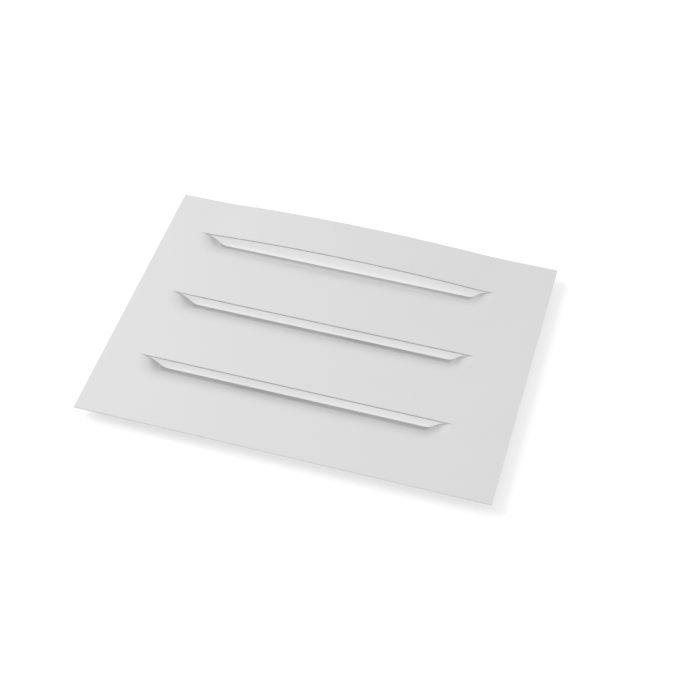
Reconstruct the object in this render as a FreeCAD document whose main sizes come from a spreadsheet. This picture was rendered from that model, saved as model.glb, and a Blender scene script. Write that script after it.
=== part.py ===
# Louvred sheet metal panel: one sheet, 305 by 229 mm, with a row of louvres pressed out of it.
#
# The panel lies as it comes to rest: on the lips of its louvres, with its flat back face up.
# X runs along the louvres and Y across them. Z = 0 is the plane that the lips rest on, and
# the origin is under the middle of the sheet. Each louvre is slit along its far side (+Y),
# and the metal on the near side of the slit is pressed down into a scoop with rounded ends.
# Pressing draws the tips of a slit together. The fold of the next louvre keeps the sheet
# beyond it flat, but nothing stiffens the far border, so it has sprung up in a low arch.
import FreeCAD
import Part
import os
from math import atan, pi, sin

import Sketcher

SIZES = {
    "sheet_gauge": 1.2,
    "louvre_count": 3,
    "louvre_pitch": 66,
    "louvre_length": 239,    # the slit, from tip to tip
    "louvre_reach": 25,      # from the fold line to the slit
    "louvre_drop": 10,       # from the sheet's face down to the lip's face
    "fold_radius": 5,        # over the fold, on the sheet's back face
    "left_margin": 26,       # from the tips to the sheet's left edge
    "right_margin": 40,
    "near_margin": 35,       # from the first fold line to the sheet's near edge
    "far_margin": 37,        # from the last slit to the sheet's far edge
    "border_rise": 4,        # how far the far border has sprung up in the middle
    "shoulder_radius": 300,  # where it leaves the flat of the sheet, at the tips
}

# What follows from the same cells: the sheet, the first louvre and the last slit.
SHEET_WIDTH = "(sizes.left_margin + sizes.louvre_length + sizes.right_margin)"
FLAT_DEPTH = "(sizes.near_margin + sizes.louvre_reach + sizes.louvre_pitch * (sizes.louvre_count - 1))"
SHEET_DEPTH = f"({FLAT_DEPTH} + sizes.far_margin)"
NEAR_EDGE_Y = f"-{SHEET_DEPTH} / 2"
FIRST_SLIT_Y = f"sizes.near_margin + sizes.louvre_reach - {SHEET_DEPTH} / 2"
LAST_SLIT_Y = f"{SHEET_DEPTH} / 2 - sizes.far_margin"
LEFT_TIP_X = f"sizes.left_margin - {SHEET_WIDTH} / 2"
LEFT_TURN_X = f"{LEFT_TIP_X} + sizes.louvre_reach"
RIGHT_TURN_X = f"{SHEET_WIDTH} / 2 - sizes.right_margin - sizes.louvre_reach"
STRAIGHT_RUN = "sizes.louvre_length - 2 * sizes.louvre_reach"
TOP_FACE_Z = "sizes.louvre_drop + sizes.sheet_gauge"
# Two shoulders and the wide arc between them meet in tangents, over the slit's length.
CROWN_RADIUS = (
    "((sizes.louvre_length / 2)^2 + sizes.border_rise^2) / (2 * sizes.border_rise)"
    " - sizes.shoulder_radius"
)

doc = FreeCAD.newDocument("louvred_panel")


def make_spreadsheet():
    """The driving dimensions, one aliased cell each."""
    cells = doc.addObject("Spreadsheet::Sheet", "sizes")
    for row, (alias, value) in enumerate(SIZES.items(), start=1):
        cells.set(f"A{row}", alias)
        cells.set(f"B{row}", str(value))
        cells.setAlias(f"B{row}", alias)
    doc.recompute()
    return cells


sizes = make_spreadsheet()


def origin_feature(body, role):
    """The body's own origin plane or axis with this role."""
    return next(item for item in body.Origin.OriginFeatures if item.Role == role)


def new_sketch(body, name, plane, x="0", y="0", z="0"):
    """A sketch on one of the body's origin planes, shifted in that plane's own x, y and z."""
    sketch = body.newObject("Sketcher::SketchObject", name)
    sketch.AttachmentSupport = [(origin_feature(body, plane), "")]
    sketch.MapMode = "FlatFace"
    sketch.setExpression("AttachmentOffset.Base.x", x)
    sketch.setExpression("AttachmentOffset.Base.y", y)
    sketch.setExpression("AttachmentOffset.Base.z", z)
    return sketch


def constrain(sketch, *rules):
    """Add geometric rules, each written as Sketcher.Constraint takes it."""
    for rule in rules:
        sketch.addConstraint(Sketcher.Constraint(*rule))


def dimension(sketch, name, expression, *rule):
    """Add one named dimension and bind it to the spreadsheet."""
    index = sketch.addConstraint(Sketcher.Constraint(*rule))
    sketch.renameConstraint(index, name)
    sketch.setExpression(f"Constraints.{name}", expression)


def line(sketch, start, end):
    """A straight edge between two (x, y) points; gives its index."""
    ends = (FreeCAD.Vector(*start, 0), FreeCAD.Vector(*end, 0))
    return sketch.addGeometry(Part.LineSegment(*ends), False)


def arc(sketch, centre, radius, start, end):
    """An arc from one angle, anticlockwise to another; gives its index."""
    circle = Part.Circle(FreeCAD.Vector(*centre, 0), FreeCAD.Vector(0, 0, 1), radius)
    return sketch.addGeometry(Part.ArcOfCircle(circle, start, end), False)


START, END, CENTRE = range(1, 4)    # the points of an edge
H_AXIS, V_AXIS = range(-1, -3, -1)
ORIGIN = (H_AXIS, START)            # the sketch's own origin point


def draw_blank(sketch):
    """The flat of the sheet, square-cut. The sketch's origin is on its near edge."""
    across = sizes.left_margin + sizes.louvre_length + sizes.right_margin
    along = sizes.near_margin + sizes.louvre_reach + sizes.louvre_pitch * (sizes.louvre_count - 1)
    near = line(sketch, (-across / 2, 0), (across / 2, 0))
    right = line(sketch, (across / 2, 0), (across / 2, along))
    far = line(sketch, (across / 2, along), (-across / 2, along))
    left = line(sketch, (-across / 2, along), (-across / 2, 0))
    constrain(
        sketch,
        ("Coincident", near, END, right, START),
        ("Coincident", right, END, far, START),
        ("Coincident", far, END, left, START),
        ("Coincident", left, END, near, START),
        ("Horizontal", near),
        ("Horizontal", far),
        ("Vertical", right),
        ("Vertical", left),
        ("Symmetric", near, START, near, END, *ORIGIN),
    )
    dimension(sketch, "width", SHEET_WIDTH, "DistanceX", near, START, near, END, across)
    dimension(sketch, "depth", FLAT_DEPTH, "DistanceY", right, START, right, END, along)


def draw_border(sketch):
    """The far border's section, from the sheet's left edge to its right: flat as far as the
    tip of the slit, up over a shoulder, and along one wide arc to the other tip. The sketch's
    origin is at the left tip, on the sheet's back face."""
    gauge = sizes.sheet_gauge
    span = sizes.louvre_length
    rise = sizes.border_rise
    shoulder = sizes.shoulder_radius
    lean = 2 * atan(2 * rise / span)     # the slope where a shoulder meets the wide arc
    crown = span / 2 / sin(lean) - shoulder
    crown_centre = (span / 2, rise - crown)
    right_end = span + sizes.right_margin
    top = [
        line(sketch, (-sizes.left_margin, 0), (0, 0)),
        arc(sketch, (0, shoulder), shoulder, 1.5 * pi, 1.5 * pi + lean),
        arc(sketch, crown_centre, crown, pi / 2 - lean, pi / 2 + lean),
        arc(sketch, (span, shoulder), shoulder, 1.5 * pi - lean, 1.5 * pi),
        line(sketch, (span, 0), (right_end, 0)),
    ]
    under = [
        line(sketch, (-sizes.left_margin, -gauge), (0, -gauge)),
        arc(sketch, (0, shoulder), shoulder + gauge, 1.5 * pi, 1.5 * pi + lean),
        arc(sketch, crown_centre, crown - gauge, pi / 2 - lean, pi / 2 + lean),
        arc(sketch, (span, shoulder), shoulder + gauge, 1.5 * pi - lean, 1.5 * pi),
        line(sketch, (span, -gauge), (right_end, -gauge)),
    ]
    for flat_left, rising, wide, falling, flat_right in (top, under):
        constrain(
            sketch,
            ("Horizontal", flat_left),
            ("Tangent", flat_left, END, rising, START),
            ("Tangent", rising, END, wide, END),
            ("Tangent", wide, START, falling, START),
            ("Tangent", falling, END, flat_right, START),
            ("Horizontal", flat_right),
        )
    for above, below in zip(top[1:4], under[1:4]):
        constrain(sketch, ("Coincident", above, CENTRE, below, CENTRE))
    left = line(sketch, (-sizes.left_margin, 0), (-sizes.left_margin, -gauge))
    right = line(sketch, (right_end, 0), (right_end, -gauge))
    for side, above, below, corner in ((left, top[0], under[0], START), (right, top[4], under[4], END)):
        constrain(
            sketch,
            ("Coincident", side, START, above, corner),
            ("Coincident", side, END, below, corner),
            ("Vertical", side),
        )
    constrain(
        sketch,
        ("Coincident", top[0], END, *ORIGIN),
        ("PointOnObject", top[4], START, H_AXIS),
        ("Equal", top[1], top[3]),
    )
    dimension(sketch, "gauge", "sizes.sheet_gauge", "DistanceY", left, END, left, START, gauge)
    dimension(sketch, "left", "sizes.left_margin", "DistanceX", top[0], START, top[0], END, sizes.left_margin)
    dimension(sketch, "span", "sizes.louvre_length", "DistanceX", *ORIGIN, top[4], START, span)
    dimension(sketch, "right", "sizes.right_margin", "DistanceX", top[4], START, top[4], END, sizes.right_margin)
    dimension(sketch, "shoulder", "sizes.shoulder_radius", "Radius", top[1], shoulder)
    dimension(sketch, "crown", CROWN_RADIUS, "Radius", top[2], crown)


def draw_mouth(sketch):
    """What a louvre takes out of the flat sheet, seen from above: the slit, a quarter circle
    at each end, and the fold line. The sketch's origin is where the left end turns."""
    reach = sizes.louvre_reach
    run = sizes.louvre_length - 2 * reach
    slit = line(sketch, (-reach, 0), (run + reach, 0))
    right = arc(sketch, (run, 0), reach, 1.5 * pi, 2 * pi)
    fold = line(sketch, (0, -reach), (run, -reach))
    left = arc(sketch, (0, 0), reach, pi, 1.5 * pi)
    constrain(
        sketch,
        ("Coincident", slit, START, left, START),
        ("Coincident", slit, END, right, END),
        ("Tangent", fold, START, left, END),
        ("Tangent", fold, END, right, START),
        ("Horizontal", slit),
        ("Horizontal", fold),
        ("Coincident", left, CENTRE, *ORIGIN),
        ("PointOnObject", slit, START, H_AXIS),
        ("PointOnObject", right, CENTRE, H_AXIS),
    )
    dimension(sketch, "reach", "sizes.louvre_reach", "Radius", left, reach)
    dimension(sketch, "run", STRAIGHT_RUN, "DistanceX", fold, START, fold, END, run)


def draw_scoop(sketch):
    """The scoop's section. From the sheet it folds down over one arc, then sweeps out over a
    second until it is level again at the lip. The sketch's origin is below the slit, on the
    plane that the lips rest on. The root is let one gauge into the sheet."""
    gauge = sizes.sheet_gauge
    reach = sizes.louvre_reach
    top = sizes.louvre_drop + gauge
    fold = sizes.fold_radius
    slope = 2 * atan(sizes.louvre_drop / reach)     # where the two arcs meet
    sweep = reach / sin(slope) - fold
    fold_centre = (-reach, top - fold)
    sweep_centre = (0, gauge + sweep)
    root_back = line(sketch, (-reach - gauge, top), (-reach, top))
    fold_back = arc(sketch, fold_centre, fold, pi / 2 - slope, pi / 2)
    sweep_back = arc(sketch, sweep_centre, sweep, 1.5 * pi - slope, 1.5 * pi)
    lip = line(sketch, (0, gauge), (0, 0))
    sweep_under = arc(sketch, sweep_centre, sweep + gauge, 1.5 * pi - slope, 1.5 * pi)
    fold_under = arc(sketch, fold_centre, fold - gauge, pi / 2 - slope, pi / 2)
    root_under = line(sketch, (-reach, top - gauge), (-reach - gauge, top - gauge))
    root = line(sketch, (-reach - gauge, top - gauge), (-reach - gauge, top))
    constrain(
        sketch,
        ("Horizontal", root_back),
        ("Tangent", root_back, END, fold_back, END),
        ("Tangent", fold_back, START, sweep_back, START),
        ("PointOnObject", sweep_back, CENTRE, V_AXIS),
        ("Coincident", sweep_back, END, lip, START),
        ("Vertical", lip),
        ("Coincident", lip, END, *ORIGIN),
        ("Coincident", sweep_under, CENTRE, sweep_back, CENTRE),
        ("Coincident", sweep_under, END, lip, END),
        ("Coincident", fold_under, CENTRE, fold_back, CENTRE),
        ("Tangent", fold_under, START, sweep_under, START),
        ("Horizontal", root_under),
        ("Tangent", root_under, START, fold_under, END),
        ("Coincident", root_under, END, root, START),
        ("Coincident", root, END, root_back, START),
        ("Vertical", root),
    )
    dimension(sketch, "gauge", "sizes.sheet_gauge", "DistanceY", lip, END, lip, START, gauge)
    dimension(sketch, "root", "sizes.sheet_gauge", "DistanceX", root_back, START, root_back, END, gauge)
    dimension(sketch, "reach", "sizes.louvre_reach", "DistanceX", root_back, END, *ORIGIN, reach)
    dimension(sketch, "top", TOP_FACE_Z, "DistanceY", *ORIGIN, root_back, END, top)
    dimension(sketch, "fold", "sizes.fold_radius", "Radius", fold_back, fold)


def make_panel():
    """The whole panel, a single sheet: the blank, one louvre, and the row of louvres."""
    body = doc.addObject("PartDesign::Body", "louvred_panel")
    body.Label = "louvred_panel"

    blank_outline = new_sketch(body, "blank_outline", "XY_Plane", y=NEAR_EDGE_Y, z="sizes.louvre_drop")
    draw_blank(blank_outline)
    blank = body.newObject("PartDesign::Pad", "blank")
    blank.Profile = blank_outline
    blank.setExpression("Length", "sizes.sheet_gauge")

    border_section = new_sketch(body, "border_section", "XZ_Plane", LEFT_TIP_X, TOP_FACE_Z, f"-({LAST_SLIT_Y})")
    draw_border(border_section)
    border = body.newObject("PartDesign::Pad", "far_border")
    border.Profile = border_section
    border.Reversed = True
    border.setExpression("Length", "sizes.far_margin")
    doc.recompute()

    mouth_outline = new_sketch(body, "mouth_outline", "XY_Plane", LEFT_TURN_X, FIRST_SLIT_Y, TOP_FACE_Z)
    draw_mouth(mouth_outline)
    mouth = body.newObject("PartDesign::Pocket", "mouth")
    mouth.Profile = mouth_outline
    mouth.setExpression("Length", "sizes.sheet_gauge")

    left_section = new_sketch(body, "left_section", "YZ_Plane", FIRST_SLIT_Y, z=LEFT_TURN_X)
    draw_scoop(left_section)
    right_section = new_sketch(body, "right_section", "YZ_Plane", FIRST_SLIT_Y, z=RIGHT_TURN_X)
    draw_scoop(right_section)
    doc.recompute()

    scoop = body.newObject("PartDesign::Pad", "scoop")
    scoop.Profile = left_section
    scoop.setExpression("Length", STRAIGHT_RUN)
    left_end = rounded_end(body, "left_end", left_section, True)
    right_end = rounded_end(body, "right_end", right_section, False)

    row = body.newObject("PartDesign::LinearPattern", "louvre_row")
    row.Originals = [mouth, scoop, left_end, right_end]
    row.Direction = (origin_feature(body, "Y_Axis"), [""])
    row.setExpression("Occurrences", "sizes.louvre_count")
    row.setExpression("Length", "sizes.louvre_pitch * (sizes.louvre_count - 1)")
    body.Tip = row
    doc.recompute()
    return body


def rounded_end(body, name, section, reverse):
    """A quarter turn of the scoop's section about the slit's upright line."""
    turn = body.newObject("PartDesign::Revolution", name)
    turn.Profile = section
    turn.ReferenceAxis = (section, ["V_Axis"])
    turn.Angle = 90
    turn.Reversed = reverse
    doc.recompute()
    return turn


panel = make_panel()

for item in doc.Objects:
    if {"Invalid", "Error"} & set(item.State):
        raise RuntimeError(f"{item.Name} did not rebuild: {item.State}")

if panel.Shape.isNull() or not panel.Shape.isValid() or len(panel.Shape.Solids) != 1:
    raise RuntimeError("louvred_panel is not one valid solid")

os.makedirs("parts", exist_ok=True)
panel.Shape.exportStep(f"parts/{panel.Label}.step")
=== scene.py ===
from math import cos, radians, sin

import bpy
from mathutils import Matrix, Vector


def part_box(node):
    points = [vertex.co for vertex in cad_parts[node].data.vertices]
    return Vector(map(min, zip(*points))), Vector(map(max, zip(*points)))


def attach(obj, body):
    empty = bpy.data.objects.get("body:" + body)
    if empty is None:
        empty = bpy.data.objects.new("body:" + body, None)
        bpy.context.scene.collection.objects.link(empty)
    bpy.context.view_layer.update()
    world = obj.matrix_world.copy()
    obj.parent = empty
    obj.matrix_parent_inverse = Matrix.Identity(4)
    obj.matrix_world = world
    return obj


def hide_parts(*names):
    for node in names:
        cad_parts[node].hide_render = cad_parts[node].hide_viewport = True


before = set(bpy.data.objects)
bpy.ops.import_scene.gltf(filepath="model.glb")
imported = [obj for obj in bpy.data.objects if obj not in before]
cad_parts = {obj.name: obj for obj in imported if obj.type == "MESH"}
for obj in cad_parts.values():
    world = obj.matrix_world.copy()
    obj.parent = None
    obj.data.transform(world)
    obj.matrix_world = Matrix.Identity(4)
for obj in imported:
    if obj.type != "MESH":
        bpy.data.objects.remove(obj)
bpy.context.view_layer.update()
scene = bpy.context.scene

# ---------------------------------------------------------------------------------------
# The panel: one sheet of rolled aluminium. Each louvre is slit along its far side and its
# near side pressed down into a scoop with rounded ends. The far border has sprung up.
# ---------------------------------------------------------------------------------------

panel_low, panel_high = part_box("louvred_panel")

MM = 0.001                        # the frame is in metres
LOUVRES = 3
GAUGE = 1.2 * MM
DROP = 10 * MM                    # how far a lip is pressed below the sheet
BACK_FACE = DROP + GAUGE          # how high the sheet's back face lies above the floor
RISE = panel_high.z - panel_low.z - BACK_FACE    # how far the far border has sprung up
WELD = 0.001 * MM                 # vertices this close become one
SHARP_ANGLE = radians(50)         # an edge that turns by more than this looks sharp

# The sheet's sizes, by the names of its tree's inputs.
PANEL_SIZES = {
    "Width": panel_high.x - panel_low.x,
    "Depth": panel_high.y - panel_low.y,
    "Gauge": GAUGE,
    "Pitch": 66 * MM,             # from slit to slit
    "Louvre Length": 239 * MM,    # from tip to tip
    "Reach": 22 * MM,             # from a slit to where its scoop starts to fold down
    "Drop": DROP,
    "Lip Radius": 8 * MM,
    "Left Margin": 26 * MM,       # from the left edge to the tips
    "Far Margin": 37 * MM,        # from the last slit to the far edge
    "Rise": RISE,
    "Shoulder Radius": 300 * MM,  # where the far border starts to rise
    "Fine Step": 0.55 * MM,       # between vertices where the metal is folded
    "Coarse Step": 4 * MM,        # and everywhere else
}


class Tree:
    """A node tree under construction, with short calls that add its nodes."""

    def __init__(self, name):
        self.group = bpy.data.node_groups.new(name, "GeometryNodeTree")
        self.group.interface.new_socket("Geometry", in_out="OUTPUT", socket_type="NodeSocketGeometry")
        self.inputs = self.group.nodes.new("NodeGroupInput")

    def add_input(self, name, kind, value=None):
        socket = self.group.interface.new_socket(name, in_out="INPUT", socket_type=kind)
        if value is not None:
            socket.default_value = value

    def __getitem__(self, name):
        return self.inputs.outputs[name]

    def node(self, kind, **inputs):
        """Add a node with these inputs, and return its first output."""
        made = self.group.nodes.new(kind)
        for name, value in inputs.items():
            self.feed(made.inputs[name.replace("_", " ")], value)
        return made.outputs[0]

    def feed(self, socket, value):
        if isinstance(value, bpy.types.NodeSocket):
            self.group.links.new(value, socket)
        else:
            socket.default_value = value

    def math(self, operation, *values):
        made = self.group.nodes.new("ShaderNodeMath")
        made.operation = operation
        for socket, value in zip(made.inputs, values):
            self.feed(socket, value)
        return made.outputs[0]

    def halfway(self, low, high):
        return self.math("MULTIPLY", self.math("ADD", low, high), 0.5)

    def choose(self, test, when_true, when_false):
        """One of two numbers: the first where the test is 1, the second where it is 0."""
        gained = self.math("SUBTRACT", when_true, when_false)
        return self.math("MULTIPLY_ADD", test, gained, when_false)

    def place(self):
        """The X and Y of each point."""
        made = self.group.nodes.new("ShaderNodeSeparateXYZ")
        self.feed(made.inputs[0], self.node("GeometryNodeInputPosition"))
        return made.outputs[0], made.outputs[1]

    def join(self, parts):
        made = self.group.nodes.new("GeometryNodeJoinGeometry")
        for part in parts:
            self.group.links.new(part, made.inputs[0])
        return made.outputs[0]


def grid_between(tree, left, right, low, high, step_x, step_y):
    """A flat grid from left to right and from low to high, with vertices about a step apart."""
    width = tree.math("SUBTRACT", right, left)
    depth = tree.math("SUBTRACT", high, low)
    across = tree.math("ADD", tree.math("CEIL", tree.math("DIVIDE", width, step_x)), 1)
    along = tree.math("ADD", tree.math("CEIL", tree.math("DIVIDE", depth, step_y)), 1)
    sizes = {"Size_X": width, "Size_Y": depth, "Vertices_X": across, "Vertices_Y": along}
    grid = tree.node("GeometryNodeMeshGrid", **sizes)
    middle = tree.node("ShaderNodeCombineXYZ", X=tree.halfway(left, right), Y=tree.halfway(low, high))
    return tree.node("GeometryNodeSetPosition", Geometry=grid, Offset=middle)


def row_of_grids(tree, columns, low, high, step_y):
    """One row of the sheet, as a grid for each of the columns (left, right, step)."""
    grids = [grid_between(tree, left, right, low, high, step, step_y) for left, right, step in columns]
    return tree.join(grids)


def raised(tree, geometry, height):
    """The geometry with each point lifted by a height that is worked out at the point."""
    lift = tree.node("ShaderNodeCombineXYZ", Z=height)
    return tree.node("GeometryNodeSetPosition", Geometry=geometry, Offset=lift)


def arc_height(tree, radius, along):
    """The height of a circle over its level middle line, this far along from its top."""
    square = tree.math("SUBTRACT", tree.math("MULTIPLY", radius, radius), tree.math("MULTIPLY", along, along))
    return tree.math("SQRT", tree.math("MAXIMUM", square, 0))


def bend_height(tree, along, run, rise, first_radius):
    """The height of a bend that is level at its start, and level again a rise higher at the
    end of its run: one arc up, and one over that meets it."""
    slope = tree.math("MULTIPLY", 2, tree.math("ARCTANGENT", tree.math("DIVIDE", rise, run)))
    steepest = tree.math("SINE", slope)
    first_run = tree.math("MULTIPLY", first_radius, steepest)
    on_first = tree.math("SUBTRACT", first_radius, arc_height(tree, first_radius, along))
    second_radius = tree.math("SUBTRACT", tree.math("DIVIDE", run, steepest), first_radius)
    second_top = arc_height(tree, second_radius, tree.math("SUBTRACT", run, along))
    on_second = tree.math("ADD", tree.math("SUBTRACT", rise, second_radius), second_top)
    return tree.choose(tree.math("GREATER_THAN", along, first_run), on_second, on_first)


def scoop_height(tree, x, y, centre_x, half_run):
    """How far a scoop lies below the sheet, as a negative height. Its slit is at y = 0, and its
    section is the same along the slit and round both ends: the lip's arc, then the wide fold."""
    from_centre = tree.math("ABSOLUTE", tree.math("SUBTRACT", x, centre_x))
    past_turn = tree.math("MAXIMUM", tree.math("SUBTRACT", from_centre, half_run), 0)
    squares = tree.math("ADD", tree.math("MULTIPLY", past_turn, past_turn), tree.math("MULTIPLY", y, y))
    from_slit = tree.math("MINIMUM", tree.math("SQRT", squares), tree["Reach"])
    above_lip = bend_height(tree, from_slit, tree["Reach"], tree["Drop"], tree["Lip Radius"])
    return tree.math("SUBTRACT", above_lip, tree["Drop"])


def border_height(tree, x, left_tip):
    """The arch of the sprung border: a shoulder at each tip, and one wide arc between."""
    half_span = tree.math("MULTIPLY", tree["Louvre Length"], 0.5)
    centre_x = tree.math("ADD", left_tip, half_span)
    from_middle = tree.math("ABSOLUTE", tree.math("SUBTRACT", x, centre_x))
    inside = tree.math("MAXIMUM", tree.math("SUBTRACT", half_span, from_middle), 0)
    return bend_height(tree, inside, half_span, tree["Rise"], tree["Shoulder Radius"])


def pressed_sheet_tree():
    """The sheet's back face, from its near edge to its far one, as rows of grids that are
    welded together everywhere but along the slits."""
    tree = Tree("pressed_sheet")
    for name, value in PANEL_SIZES.items():
        tree.add_input(name, "NodeSocketFloat", value)
    tree.add_input("Louvres", "NodeSocketInt", LOUVRES)
    tree.add_input("Sheet Finish", "NodeSocketMaterial")
    fine, coarse = tree["Fine Step"], tree["Coarse Step"]
    right_edge = tree.math("MULTIPLY", tree["Width"], 0.5)
    left_edge = tree.math("MULTIPLY", tree["Width"], -0.5)
    left_tip = tree.math("ADD", left_edge, tree["Left Margin"])
    right_tip = tree.math("ADD", left_tip, tree["Louvre Length"])
    left_turn = tree.math("ADD", left_tip, tree["Reach"])
    right_turn = tree.math("SUBTRACT", right_tip, tree["Reach"])
    columns = [
        (left_edge, left_tip, coarse),
        (left_tip, left_turn, fine),
        (left_turn, right_turn, coarse),
        (right_turn, right_tip, fine),
        (right_tip, right_edge, coarse),
    ]
    far_edge = tree.math("MULTIPLY", tree["Depth"], 0.5)
    near_edge = tree.math("MULTIPLY", tree["Depth"], -0.5)
    last_slit = tree.math("SUBTRACT", far_edge, tree["Far Margin"])
    gaps = tree.math("SUBTRACT", tree["Louvres"], 1)
    first_slit = tree.math("SUBTRACT", last_slit, tree.math("MULTIPLY", tree["Pitch"], gaps))
    first_fold = tree.math("SUBTRACT", first_slit, tree["Reach"])
    x, y = tree.place()

    near_border = row_of_grids(tree, columns, near_edge, first_fold, coarse)

    half_run = tree.math("MULTIPLY", tree.math("SUBTRACT", right_turn, left_turn), 0.5)
    centre_x = tree.halfway(left_turn, right_turn)
    flat_scoop = row_of_grids(tree, columns, tree.math("MULTIPLY", tree["Reach"], -1), 0, fine)
    scoop = raised(tree, flat_scoop, scoop_height(tree, x, y, centre_x, half_run))
    scoops = repeated(tree, scoop, tree["Louvres"], first_slit)

    land = row_of_grids(tree, columns, 0, tree.math("SUBTRACT", tree["Pitch"], tree["Reach"]), coarse)
    lands = repeated(tree, land, gaps, first_slit)

    flat_border = row_of_grids(tree, columns, last_slit, far_edge, coarse)
    far_border = raised(tree, flat_border, border_height(tree, x, left_tip))

    sheet = tree.join([near_border, scoops, lands, far_border])
    whole = tree.node("GeometryNodeRealizeInstances", Geometry=sheet)
    welded = tree.node("GeometryNodeMergeByDistance", Geometry=whole, Distance=WELD)
    lifted = raised(tree, welded, tree.math("ADD", tree["Drop"], tree["Gauge"]))
    finished = tree.node("GeometryNodeSetMaterial", Geometry=lifted, Material=tree["Sheet Finish"])
    output = tree.group.nodes.new("NodeGroupOutput")
    tree.group.links.new(finished, output.inputs[0])
    return tree.group


def repeated(tree, geometry, count, first_y):
    """The geometry once for each louvre or gap, a pitch apart along Y."""
    start = tree.node("ShaderNodeCombineXYZ", Y=first_y)
    step = tree.node("ShaderNodeCombineXYZ", Y=tree["Pitch"])
    places = tree.node("GeometryNodeMeshLine", Count=count, Start_Location=start, Offset=step)
    return tree.node("GeometryNodeInstanceOnPoints", Points=places, Instance=geometry)


def new_material(name):
    """A new material, with its nodes, its links and its shader."""
    material = bpy.data.materials.new(name)
    material.use_nodes = True
    nodes = material.node_tree.nodes
    return material, nodes, material.node_tree.links, nodes["Principled BSDF"]


NOISE_SPAN = (0.3, 0.7)    # most of the noise lies between these


def noise(nodes, links, scale, detail=2):
    """Noise on the piece's own coordinates, with about this many grains a metre on each axis."""
    place = nodes.new("ShaderNodeTexCoord")
    stretch = nodes.new("ShaderNodeMapping")
    stretch.inputs["Scale"].default_value = scale
    links.new(place.outputs["Object"], stretch.inputs["Vector"])
    made = nodes.new("ShaderNodeTexNoise")
    made.inputs["Scale"].default_value = 1
    made.inputs["Detail"].default_value = detail
    links.new(stretch.outputs[0], made.inputs["Vector"])
    return made.outputs["Fac"]


def vary(nodes, links, socket, source, low, high):
    """Let a shader's input wander between two values with the noise."""
    spread = nodes.new("ShaderNodeMapRange")
    limits = {"From Min": NOISE_SPAN[0], "From Max": NOISE_SPAN[1], "To Min": low, "To Max": high}
    for name, value in limits.items():
        spread.inputs[name].default_value = value
    links.new(source, spread.inputs["Value"])
    links.new(spread.outputs[0], socket)


def rolled_aluminium():
    """Plain mill finish: satin, faintly clouded, with a fine grain along X, the way it was rolled."""
    material, nodes, links, shader = new_material("rolled_aluminium")
    shader.inputs["Metallic"].default_value = 1
    grain = noise(nodes, links, scale=(6, 900, 900), detail=4)
    cloud = noise(nodes, links, scale=(24, 24, 24), detail=3)
    both = nodes.new("ShaderNodeMix")
    both.data_type = "FLOAT"
    both.inputs["Factor"].default_value = 0.5
    links.new(grain, both.inputs["A"])
    links.new(cloud, both.inputs["B"])
    vary(nodes, links, shader.inputs["Base Color"], both.outputs[0], low=0.695, high=0.725)
    vary(nodes, links, shader.inputs["Roughness"], both.outputs[0], low=0.48, high=0.56)
    bump = nodes.new("ShaderNodeBump")
    bump.inputs["Strength"].default_value = 0.15
    bump.inputs["Distance"].default_value = 0.02 * MM
    links.new(grain, bump.inputs["Height"])
    links.new(bump.outputs[0], shader.inputs["Normal"])
    return material


def sheared_edge():
    """The cut edges: fine streaks of bright and duller metal through the thickness."""
    material, nodes, links, shader = new_material("sheared_edge")
    shader.inputs["Metallic"].default_value = 1
    streak = noise(nodes, links, scale=(2500, 2500, 150))
    vary(nodes, links, shader.inputs["Base Color"], streak, low=0.62, high=0.74)
    vary(nodes, links, shader.inputs["Roughness"], streak, low=0.35, high=0.6)
    return material


def plain_mesh(thing):
    """The mesh of a thing as its modifiers leave it."""
    evaluated = thing.evaluated_get(bpy.context.evaluated_depsgraph_get())
    return bpy.data.meshes.new_from_object(evaluated)


def pressed_face():
    """The sheet's back face, from its node tree."""
    group = pressed_sheet_tree()
    working = bpy.data.objects.new("panel_tree", bpy.data.meshes.new("panel_tree"))
    scene.collection.objects.link(working)
    pressed = working.modifiers.new("pressed_sheet", "NODES")
    pressed.node_group = group
    finish_input = next(item for item in group.interface.items_tree if item.name == "Sheet Finish")
    pressed[finish_input.identifier] = rolled_aluminium()
    face = plain_mesh(working)
    bpy.data.objects.remove(working)
    return face


def make_panel():
    """The back face, given its thickness downwards and its cut edges."""
    face = pressed_face()
    face.materials.append(sheared_edge())
    panel = bpy.data.objects.new("pressed_panel", face)
    scene.collection.objects.link(panel)
    thickness = panel.modifiers.new("gauge", "SOLIDIFY")
    thickness.thickness = GAUGE
    thickness.offset = -1
    thickness.use_even_offset = True
    thickness.use_quality_normals = True
    thickness.material_offset_rim = 1
    solid = plain_mesh(panel)
    panel.modifiers.clear()
    panel.data = solid
    solid.shade_smooth()
    solid.set_sharp_from_angle(angle=SHARP_ANGLE)
    return panel


panel = make_panel()
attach(panel, "root")
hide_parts("louvred_panel")

# ---------------------------------------------------------------------------------------
# The floor: a plain pale board that the panel lies on. It shows white to the camera and
# in the metal, and keeps the panel's soft shadow.
# ---------------------------------------------------------------------------------------

FLOOR_SIZE = 8.0
FLOOR_GLOW = 0.5    # the share of its look that is plain white, in shadow or not


def seen_directly(nodes, links, camera_share=1):
    """1 where a reflection or a clear material sees the surface, and the camera's share where
    the camera does. Light that only falls on other things from there counts as 0."""
    path = nodes.new("ShaderNodeLightPath")
    by_camera = nodes.new("ShaderNodeMath")
    by_camera.operation = "MULTIPLY"
    by_camera.inputs[1].default_value = camera_share
    links.new(path.outputs["Is Camera Ray"], by_camera.inputs[0])
    seen = by_camera.outputs[0]
    for kind in ("Is Glossy Ray", "Is Transmission Ray"):
        either = nodes.new("ShaderNodeMath")
        either.operation = "MAXIMUM"
        links.new(seen, either.inputs[0])
        links.new(path.outputs[kind], either.inputs[1])
        seen = either.outputs[0]
    return seen


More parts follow.
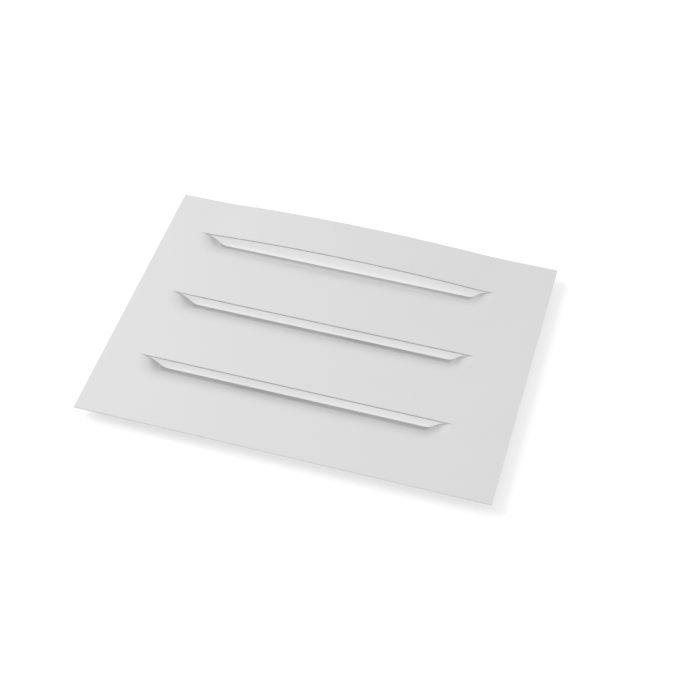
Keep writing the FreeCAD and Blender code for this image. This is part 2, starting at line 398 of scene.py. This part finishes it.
def pale_floor():
    """A pale board that takes shadows, mixed with plain white that doesn't. The metal sees only
    the white."""
    material, nodes, links, shader = new_material("pale_board")
    nodes.remove(shader)
    board = nodes.new("ShaderNodeBsdfDiffuse")
    board.inputs["Color"].default_value = (0.9, 0.9, 0.9, 1)
    glow = nodes.new("ShaderNodeEmission")
    glow.inputs["Color"].default_value = (1, 1, 1, 1)
    mixed = nodes.new("ShaderNodeMixShader")
    links.new(seen_directly(nodes, links, FLOOR_GLOW), mixed.inputs[0])
    links.new(board.outputs[0], mixed.inputs[1])
    links.new(glow.outputs[0], mixed.inputs[2])
    links.new(mixed.outputs[0], nodes["Material Output"].inputs["Surface"])
    return material


def make_floor():
    """One square face, under the lowest point of the panel."""
    half = FLOOR_SIZE / 2
    mesh = bpy.data.meshes.new("floor")
    corners = [(-half, -half, 0), (half, -half, 0), (half, half, 0), (-half, half, 0)]
    mesh.from_pydata(corners, [], [(0, 1, 2, 3)])
    mesh.materials.append(pale_floor())
    board = bpy.data.objects.new("floor", mesh)
    board.location.z = panel_low.z
    scene.collection.objects.link(board)
    return board


make_floor()

# ---------------------------------------------------------------------------------------
# The studio: a large soft box over the left, which the metal doesn't mirror, a faint one
# that it does, a pale room, and the camera over the near right of the panel.
# ---------------------------------------------------------------------------------------

LIT_SPOT = Vector((0, 0, 0))    # on the floor, under the middle of the panel
LAMP_DISTANCE = 1.8


def aim(thing, place, target):
    """Put a lamp or a camera at a place, looking at a target."""
    thing.location = place
    thing.rotation_euler = (target - place).to_track_quat("-Z", "Y").to_euler()


def from_target(target, distance, azimuth, elevation):
    """A place at this distance; azimuth 0 is in front, at -Y, and turns towards +X."""
    flat = distance * cos(radians(elevation))
    side = Vector((sin(radians(azimuth)) * flat, -cos(radians(azimuth)) * flat, 0))
    return target + side + Vector((0, 0, distance * sin(radians(elevation))))


def soft_box(name, width, watts, azimuth, elevation, mirrored):
    """A square lamp aimed at the panel; mirrored says whether the metal shows it."""
    lamp = bpy.data.lights.new(name, "AREA")
    lamp.shape = "SQUARE"
    lamp.size = width
    lamp.energy = watts
    box = bpy.data.objects.new(name, lamp)
    box.visible_glossy = mirrored
    scene.collection.objects.link(box)
    aim(box, from_target(LIT_SPOT, LAMP_DISTANCE, azimuth, elevation), LIT_SPOT)


soft_box("key_soft_box", width=1.2, watts=22, azimuth=-90, elevation=45, mirrored=False)
soft_box("sheen_soft_box", width=0.8, watts=1, azimuth=-135, elevation=45, mirrored=True)

ROOM_LIGHT = 0.95    # what the room gives to surfaces
ROOM_SEEN = 1.0      # what the camera and the metal see of it


def pale_room():
    """The same pale light from all sides, which shows as white."""
    world = bpy.data.worlds.new("pale_room")
    world.use_nodes = True
    nodes, links = world.node_tree.nodes, world.node_tree.links
    strength = nodes.new("ShaderNodeMapRange")
    strength.inputs["To Min"].default_value = ROOM_LIGHT
    strength.inputs["To Max"].default_value = ROOM_SEEN
    links.new(seen_directly(nodes, links), strength.inputs["Value"])
    background = nodes["Background"]
    background.inputs["Color"].default_value = (1, 1, 1, 1)
    links.new(strength.outputs[0], background.inputs["Strength"])
    return world


scene.world = pale_room()

CAMERA_TARGET = Vector((21.7 * MM, -8.25 * MM, BACK_FACE))
CAMERA_DISTANCE = 1.122
CAMERA_AZIMUTH = 16.25      # degrees
CAMERA_ELEVATION = 49.0
LENS = 78.4                 # millimetres, and so is the sensor
SENSOR_WIDTH = 36

lens = bpy.data.cameras.new("camera")
lens.lens = LENS
lens.sensor_width = SENSOR_WIDTH
camera = bpy.data.objects.new("camera", lens)
scene.collection.objects.link(camera)
aim(camera, from_target(CAMERA_TARGET, CAMERA_DISTANCE, CAMERA_AZIMUTH, CAMERA_ELEVATION), CAMERA_TARGET)
scene.camera = camera
scene.view_settings.view_transform = "Standard"
